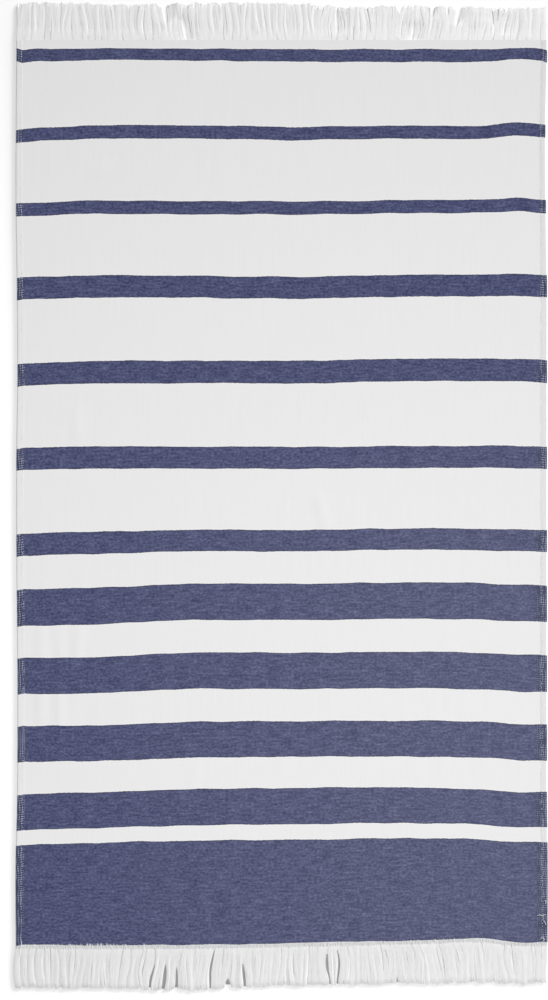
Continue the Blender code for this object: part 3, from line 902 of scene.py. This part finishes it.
class Recipe:
    """A material's or a group's nodes. Inputs may be sockets or plain values."""

    def __init__(self, tree):
        self.tree = tree

    def add(self, kind, *inputs, **settings):
        """A node of that kind, with its settings and its inputs in order. None leaves an input as it is."""
        node = self.tree.nodes.new("ShaderNode" + kind)
        for name, value in settings.items():
            setattr(node, name, value)
        for socket, value in zip(node.inputs, inputs):
            self.feed(socket, value)
        return node

    def feed(self, socket, value):
        if isinstance(value, bpy.types.NodeSocket):
            self.tree.links.new(value, socket)
        elif value is not None:
            socket.default_value = value

    def math(self, operation, *values):
        return self.add("Math", *values, operation=operation).outputs[0]

    def times(self, value, by):
        return self.math("MULTIPLY", value, by)

    def fit(self, value, by, more):
        """value times by, plus more."""
        return self.math("MULTIPLY_ADD", value, by, more)

    def wave(self, value, length):
        """The sine of value over that wavelength."""
        return self.math("SINE", self.times(value, 2 * np.pi / length))

    def band(self, value, low, high, to_low=0.0, to_high=1.0):
        """value carried smoothly from low..high to to_low..to_high."""
        node = self.add("MapRange", value, low, high, to_low, to_high, interpolation_type="SMOOTHSTEP")
        return node.outputs[0]

    def flat_place(self):
        """Across and along, in metres, from the UV map."""
        node = self.add("SeparateXYZ", self.add("UVMap", uv_map="flat").outputs[0])
        return node.outputs[0], node.outputs[1]

    def object_place(self):
        """X and Y of the piece."""
        node = self.add("SeparateXYZ", self.add("TexCoord").outputs["Object"])
        return node.outputs[0], node.outputs[1]

    def noise(self, across, along, size_across, size_along, detail=0.0, shift=0.0):
        """Cloudy noise, from 0 to 1, whose clouds have that size in metres."""
        x = self.fit(across, 1 / size_across, shift)
        y = self.fit(along, 1 / size_along, shift)
        place = self.add("CombineXYZ", x, y, 0.0).outputs[0]
        node = self.add("TexNoise", noise_dimensions="2D")
        for name, value in (("Vector", place), ("Scale", 1.0), ("Detail", detail)):
            self.feed(node.inputs[name], value)
        return node.outputs[0]

    def mix(self, share, low, high):
        """Two colours mixed by share."""
        node = self.add("Mix", data_type="RGBA")
        for number, value in ((0, share), (6, low), (7, high)):
            self.feed(node.inputs[number], value)
        return node.outputs[2]

    def bump(self, height, strength, distance):
        """A normal from height, whose full range stands that distance proud."""
        node = self.add("Bump")
        for name, value in (("Strength", strength), ("Distance", distance), ("Height", height)):
            self.feed(node.inputs[name], value)
        return node.outputs[0]


class Cotton(Recipe):
    """A new cotton material, its shader and its nodes."""

    def __init__(self, name, roughness, sheen):
        self.material = bpy.data.materials.new(name)
        self.material.use_nodes = True
        super().__init__(self.material.node_tree)
        self.shader = self.tree.nodes["Principled BSDF"]
        for socket, value in {
            "Roughness": roughness,
            "Specular IOR Level": 0.12,
            "Sheen Weight": sheen,
            "Sheen Roughness": 0.6,
        }.items():
            self.feed(self.shader.inputs[socket], value)

    def finish(self, colour, normal=None, roughness=None):
        """Feeds the shader and returns the material."""
        for name, value in (("Base Color", colour), ("Normal", normal), ("Roughness", roughness)):
            self.feed(self.shader.inputs[name], value)
        return self.material


def opaque(colour, share=1):
    """An opaque colour, that much as bright."""
    return (*(c * share for c in colour), 1.0)


def stripe_group():
    """A group that tells how far a place along the cloth is from the stripes' edges, in metres and less than
    zero inside a stripe: the least, over all stripes, of the distance to its middle less half its height."""
    found = bpy.data.node_groups.get("distance to stripes")
    if found:
        return found
    group = bpy.data.node_groups.new("distance to stripes", "ShaderNodeTree")
    group.interface.new_socket("Along", in_out="INPUT", socket_type="NodeSocketFloat")
    group.interface.new_socket("Distance", in_out="OUTPUT", socket_type="NodeSocketFloat")
    along = group.nodes.new("NodeGroupInput").outputs[0]
    recipe = Recipe(group)
    nearest = None
    for stripe in STRIPES:
        half = stripe.height / 2
        from_middle = recipe.math("ABSOLUTE", recipe.math("SUBTRACT", along, (stripe.start + half) * MM))
        distance = recipe.math("SUBTRACT", from_middle, half * MM)
        nearest = distance if nearest is None else recipe.math("MINIMUM", nearest, distance)
    group.links.new(nearest, group.nodes.new("NodeGroupOutput").inputs[0])
    return group


def weave_height(recipe, across, along):
    """Plain weave, from 0 to 1: the product of a sine over the warp and one over the weft."""
    thread = 0.0011
    over_warp = recipe.wave(across, thread)
    over_weft = recipe.wave(along, thread)
    return recipe.fit(recipe.times(over_warp, over_weft), 0.5, 0.5)


def striped_colours(recipe, settings, across, along):
    """White ground and navy melange for places on the flat cloth. Returns the colour, the share of navy and
    the melange's tone."""
    teeth = recipe.noise(across, along, 0.0042, 0.006, detail=1.0, shift=3.0)
    slow = recipe.noise(across, along, 0.060, 0.120, detail=1.0, shift=23.0)
    wavering = recipe.fit(teeth, 0.0012, recipe.fit(slow, 0.004, -0.0026))
    # The first stripe rises a little beside the left hem.
    from_hem = recipe.math("ABSOLUTE", recipe.math("SUBTRACT", across, 0.037))
    beside_hem = recipe.band(from_hem, 0.0, 0.030, 1.0, 0.0)
    at_first = recipe.times(recipe.band(along, 0.06, 0.10, 1.0, 0.0), 0.0022)
    wavering = recipe.fit(beside_hem, at_first, wavering)
    place = recipe.math("ADD", along, wavering)
    distance = recipe.add("Group", node_tree=stripe_group())
    recipe.feed(distance.inputs[0], place)
    distance = distance.outputs[0]
    navy = recipe.band(distance, -0.0003, 0.0003, 1.0, 0.0)

    # Short and long flecks that lie along the weft, and soft clouds.
    short = recipe.noise(across, along, 0.0052, 0.0036, detail=1.5)
    long = recipe.noise(across, along, 0.0240, 0.0040, detail=1.0, shift=7.0)
    cloud = recipe.noise(across, along, 0.030, 0.018, detail=2.0, shift=11.0)
    tone = recipe.fit(cloud, 0.16, recipe.fit(short, 0.52, recipe.times(long, 0.32)))
    tone = recipe.fit(recipe.math("SUBTRACT", tone, 0.5), 2.2 * settings.fleck, 0.5)
    tone = recipe.math("POWER", recipe.math("MINIMUM", recipe.math("MAXIMUM", tone, 0.0), 1.0), 1.45)
    red, green, blue = settings.navy
    dark = opaque((red * 0.47, green * 0.49, blue * 0.64))
    light = opaque((red * 2.05, green * 1.98, blue * 1.66))
    melange = recipe.mix(tone, dark, light)

    # The melange is mixed a little with white towards the lower right.
    lower = recipe.band(along, 0.45, 1.05)
    rightward = recipe.band(across, -0.3, 1.0)
    white_amount = recipe.fit(tone, 0.022, 0.035)
    whiter_to_lower_right = recipe.times(recipe.times(lower, rightward), white_amount)
    melange = recipe.mix(whiter_to_lower_right, melange, opaque(settings.white))

    # Packed picks make a darker line inside each stripe's edge, and a lighter one outside it.
    edged = recipe.times(recipe.band(distance, -0.0022, -0.0002), 0.65)
    melange = recipe.mix(edged, melange, opaque((0.035, 0.038, 0.062)))
    threads = recipe.noise(across, along, 0.004, 0.09, detail=1.0, shift=5.0)
    threads = recipe.band(threads, 0.3, 0.7)
    ground = recipe.mix(threads, opaque(settings.white, 0.993), opaque(settings.white, 1.005))
    beside = recipe.times(recipe.band(distance, 0.0003, 0.0032, 1.0, 0.0), 0.4)
    ground = recipe.mix(beside, ground, opaque(settings.white, 1.07))

    # Between the heading's bundles the ground is greyer, partly painted shade, and some navy shows through.
    heading = recipe.band(along, LOWER_HEADING * MM - 0.002, LOWER_HEADING * MM + 0.001, 0.0, 0.5)
    ground = recipe.mix(heading, ground, opaque((0.40, 0.41, 0.44)))
    return recipe.mix(navy, ground, melange), navy, tone


def reverse_checks(recipe, across, along, pitch):
    """Small diamonds of the weave's other side, from 0 to 1: where the sines of both diagonals are high,
    stronger in some places than in others."""
    bent = recipe.noise(across, along, 0.012, 0.016, shift=29.0)
    across = recipe.fit(bent, 0.003, across)
    one = recipe.math("ADD", across, along)
    other = recipe.math("SUBTRACT", across, along)
    diamonds = recipe.times(recipe.wave(one, pitch), recipe.wave(other, pitch))
    diamonds = recipe.band(diamonds, 0.05, 0.5)
    patchy = recipe.noise(across, along, 0.007, 0.022, detail=1.0, shift=17.0)
    return recipe.times(diamonds, recipe.band(patchy, 0.32, 0.62, 0.15, 1.0))


def woven_cotton(settings):
    """The flat weave: white ground, navy stripes of melange yarn, and a fine plain weave."""
    recipe = Cotton("striped cotton", 0.9, 0.12)
    across, along = recipe.flat_place()
    colour, navy, tone = striped_colours(recipe, settings, across, along)

    # Beside the right hem the cloth is pulled and shows its other side in small checks.
    zone = recipe.band(across, 0.9445, 0.9475)
    zone = recipe.times(zone, recipe.band(along, 0.55, 0.62))
    checks = reverse_checks(recipe, across, along, 0.0074)
    pulled = recipe.mix(0.7, colour, opaque((0.03, 0.035, 0.07)))
    pulled = recipe.mix(recipe.times(checks, 0.5), pulled, opaque((0.30, 0.32, 0.44)))
    colour = recipe.mix(recipe.times(recipe.times(zone, navy), 0.8), colour, pulled)
    weave = weave_height(recipe, across, along)
    slub = recipe.times(recipe.times(tone, navy), 0.5)
    normal = recipe.bump(recipe.math("ADD", weave, slub), 0.2, 0.0001)
    return recipe.finish(colour, normal, recipe.band(tone, 0.0, 1.0, 0.84, 0.95))


def hem_cotton(settings, right):
    """The cloth's other side on a hem: darker between, with small white checks in the navy."""
    recipe = Cotton("right hem cotton" if right else "left hem cotton", 0.92, 0.1)
    # Each hem is mixed towards grey, a painted shade: the right by a quarter, the left barely.
    check_share, painted_grey = (0.52, 0.26) if right else (0.55, 0.02)
    across, along = recipe.flat_place()
    colour, navy, tone = striped_colours(recipe, settings, across, along)
    checks = reverse_checks(recipe, across, along, 0.0084)
    between = recipe.mix(0.6, colour, opaque((0.026, 0.031, 0.066)))
    checked = recipe.mix(recipe.times(checks, check_share), between, opaque((0.45, 0.49, 0.62)))
    colour = recipe.mix(navy, recipe.mix(painted_grey, colour, opaque((0.5, 0.5, 0.5))), checked)
    height = recipe.fit(checks, 0.8, weave_height(recipe, across, along))
    return recipe.finish(colour, recipe.bump(height, 0.3, 0.00014), recipe.band(tone, 0.0, 1.0, 0.86, 0.96))


def sewing_thread(settings):
    """Pale sewing thread with a fine twist."""
    found = bpy.data.materials.get("sewing thread")
    if found:
        return found
    recipe = Cotton("sewing thread", 0.7, 0.1)
    x, y = recipe.object_place()
    twist = recipe.wave(recipe.math("ADD", x, y), 0.0009)
    cloud = recipe.band(recipe.noise(x, y, 0.004, 0.006, detail=1.0), 0.3, 0.65)
    colour = recipe.mix(cloud, opaque(settings.thread, 0.72), opaque(settings.thread))
    return recipe.finish(colour, recipe.bump(twist, 0.4, 0.0001))


def loose_cotton(settings, name, share):
    """Loose warp yarn: soft white cotton whose yarns differ a little, with a slow twist along each. share is
    how bright it is beside the fringe's own cotton. Where the tone is below zero, shade is painted on it."""
    recipe = Cotton(name, 0.88, 0.2)
    colour = [c * share for c in settings.colour]
    around, down = recipe.flat_place()
    tone = recipe.add("Attribute", attribute_name="tone").outputs["Fac"]
    cloud = recipe.noise(tone, down, 0.2, 0.012, detail=1.0)
    tone_share = recipe.fit(cloud, 0.5, recipe.times(tone, 0.5))
    shown = recipe.mix(tone_share, opaque(colour, 0.92), opaque(colour, 1.08))
    # Painted shade: a tone below zero draws the cotton darker, down to 0.48 of its colour.
    painted_shade = recipe.band(tone, -1.0, 0.0, 1.0, 0.0)
    shown = recipe.mix(painted_shade, shown, opaque(colour, 0.48))
    twist = recipe.math("SINE", recipe.fit(down, 2 * np.pi / 0.0016, recipe.times(around, 2 * np.pi)))
    return recipe.finish(shown, recipe.bump(twist, 0.25, 0.00006), recipe.band(cloud, 0.2, 0.8, 0.82, 0.94))


def floor_paper(settings):
    """Plain pale paper with a very faint grain."""
    recipe = Cotton("pale paper", 0.95, 0.0)
    grain = recipe.noise(*recipe.object_place(), 0.02, 0.02, detail=2.0)
    colour = recipe.mix(grain, opaque(settings.floor, 0.995), opaque(settings.floor))
    return recipe.finish(colour, roughness=recipe.band(grain, 0.0, 1.0, 0.92, 0.98))


# Stage


def make_floor(settings):
    """A wide pale floor just under the towel."""
    half, low = 12.0, -0.0002
    corners = [(-half, -half, low), (half, -half, low), (half, half, low), (-half, half, low)]
    mesh = bpy.data.meshes.new("floor")
    mesh.from_pydata(corners, [], [(0, 1, 2, 3)])
    mesh.materials.append(floor_paper(settings))
    floor = bpy.data.objects.new("floor", mesh)
    bpy.context.scene.collection.objects.link(floor)


def make_lamp(name, kind, energy, place, aim, **sizes):
    """A lamp at place, turned so that it shines at aim."""
    data = bpy.data.lights.new(name, kind)
    data.energy = energy
    for size, value in sizes.items():
        setattr(data, size, value)
    lamp = bpy.data.objects.new(name, data)
    x, y, z = (b - a for a, b in zip(place, aim))
    lamp.location = place
    lamp.rotation_euler = (np.arctan2(np.hypot(x, y), -z), 0, np.arctan2(x, -y) + np.pi)
    bpy.context.scene.collection.objects.link(lamp)


def make_lights(settings):
    """Even light from all round, one large soft box over the lower right, and one wide light from the upper
    right that comes in low. Its light on a flat surface is its strength times the sine of its height over
    pi."""
    scene = bpy.context.scene
    world = bpy.data.worlds.new("surround")
    world.use_nodes = True
    background = world.node_tree.nodes["Background"]
    background.inputs["Color"].default_value = (1.0, 1.0, 1.0, 1.0)
    background.inputs["Strength"].default_value = settings.sky
    scene.world = world
    box = (0.34, -0.44)
    sizes = {"shape": "RECTANGLE", "size": 1.2, "size_y": 2.4}
    make_lamp("soft_box", "AREA", settings.key, (*box, 3.0), (*box, 0), **sizes)
    way, height, far = np.radians(42), np.radians(8), 4
    level = far * np.cos(height)
    place = (level * np.cos(way), level * np.sin(way), far * np.sin(height))
    strength = settings.side * np.pi / np.sin(height)
    make_lamp("side_light", "SUN", strength, place, (0, 0, 0), angle=np.radians(14))
    scene.view_settings.view_transform = "Standard"
    scene.view_settings.look = "None"
    scene.view_settings.exposure = 0.0
    scene.view_settings.gamma = 1.0


def make_camera(settings):
    """A camera straight above. The photograph's frame is 1000 pixels high, and the towel's cloth lies 1.8208
    mm a pixel in it, so the view is 1.8208 m high round the picture's middle."""
    scene = bpy.context.scene
    data = bpy.data.cameras.new("camera")
    height_seen, sensor, cloth_top = 1.8208, 36.0, 0.0021
    data.lens = settings.lens
    data.sensor_fit = "AUTO"
    data.sensor_width = sensor
    camera = bpy.data.objects.new("camera", data)
    camera.location = (-0.0112, -0.0069, height_seen * settings.lens / sensor + cloth_top)
    data.clip_end = 60.0
    scene.collection.objects.link(camera)
    scene.camera = camera


# Operators


class TOWEL_OT_studio(bpy.types.Operator):
    """Make the floor, the lights and the camera straight above"""

    bl_idname = "towel.studio"
    bl_label = "Studio"

    def execute(self, context):
        for make in (make_floor, make_lights, make_camera):
            make(context.scene.towel_studio)
        return {"FINISHED"}


class TOWEL_OT_cloth(bpy.types.Operator):
    """Make the striped woven panel"""

    bl_idname = "towel.cloth"
    bl_label = "Woven panel"

    def execute(self, context):
        make_cloth(context.scene.towel_cloth)
        return {"FINISHED"}


class TOWEL_OT_hems(bpy.types.Operator):
    """Make the two turned side hems"""

    bl_idname = "towel.hems"
    bl_label = "Side hems"

    def execute(self, context):
        for right in (False, True):
            make_hem(context.scene.towel_hems, context.scene.towel_cloth, right)
        return {"FINISHED"}


class TOWEL_OT_stitches(bpy.types.Operator):
    """Make the sewing on both hems"""

    bl_idname = "towel.stitches"
    bl_label = "Stitches"

    def execute(self, context):
        for right in (False, True):
            make_stitches(context.scene.towel_hems, right)
        return {"FINISHED"}


class TOWEL_OT_heading(bpy.types.Operator):
    """Make the white heading's warp bundles"""

    bl_idname = "towel.heading"
    bl_label = "Heading"

    def execute(self, context):
        make_heading(context.scene.towel_fringes)
        return {"FINISHED"}


class TOWEL_OT_fringes(bpy.types.Operator):
    """Make both fringes of loose yarn"""

    bl_idname = "towel.fringes"
    bl_label = "Fringes"

    def execute(self, context):
        for fringe in FRINGES:
            make_yarns(context.scene.towel_fringes, fringe)
        return {"FINISHED"}


class TOWEL_OT_threads(bpy.types.Operator):
    """Make the loose ends of thread"""

    bl_idname = "towel.threads"
    bl_label = "Loose threads"

    def execute(self, context):
        make_loose_threads(context.scene.towel_fringes)
        return {"FINISHED"}


class TOWEL_OT_declare(bpy.types.Operator):
    """Gather the names of the pieces that lie on the panel"""

    bl_idname = "towel.declare"
    bl_label = "Declare the sheet"

    def execute(self, context):
        on_it = ["hem_left", "hem_right", "stitches_left", "stitches_right"]
        on_it += ["heading_bundles", "yarns_top", "yarns_bottom", "loose_threads"]
        return {"FINISHED"}


OPERATORS = (
    TOWEL_OT_studio,
    TOWEL_OT_cloth,
    TOWEL_OT_hems,
    TOWEL_OT_stitches,
    TOWEL_OT_heading,
    TOWEL_OT_fringes,
    TOWEL_OT_threads,
    TOWEL_OT_declare,
)
SETTINGS = {
    "towel_cloth": ClothSettings,
    "towel_hems": HemSettings,
    "towel_fringes": FringeSettings,
    "towel_studio": StudioSettings,
}


class TOWEL_PT_pieces(bpy.types.Panel):
    """The towel's sizes, colours and pieces."""

    bl_label = "Beach towel"
    bl_idname = "TOWEL_PT_pieces"
    bl_space_type = "VIEW_3D"
    bl_region_type = "UI"
    bl_category = "Towel"

    def draw(self, context):
        for name, group in SETTINGS.items():
            box = self.layout.box()
            box.label(text=group.__doc__.rstrip("."))
            for prop in group.__annotations__:
                box.prop(getattr(context.scene, name), prop)
        for operator in OPERATORS:
            self.layout.operator(operator.bl_idname)


CLASSES = (*SETTINGS.values(), *OPERATORS, TOWEL_PT_pieces)


def register():
    for cls in CLASSES:
        bpy.utils.register_class(cls)
    for name, group in SETTINGS.items():
        setattr(bpy.types.Scene, name, bpy.props.PointerProperty(type=group))


def unregister():
    for name in SETTINGS:
        delattr(bpy.types.Scene, name)
    for cls in reversed(CLASSES):
        bpy.utils.unregister_class(cls)


def main():
    register()
    bpy.ops.towel.cloth()
    bpy.ops.towel.hems()
    bpy.ops.towel.stitches()
    bpy.ops.towel.heading()
    bpy.ops.towel.fringes()
    bpy.ops.towel.threads()
    bpy.ops.towel.declare()
    bpy.ops.towel.studio()


if __name__ == "__main__":
    main()
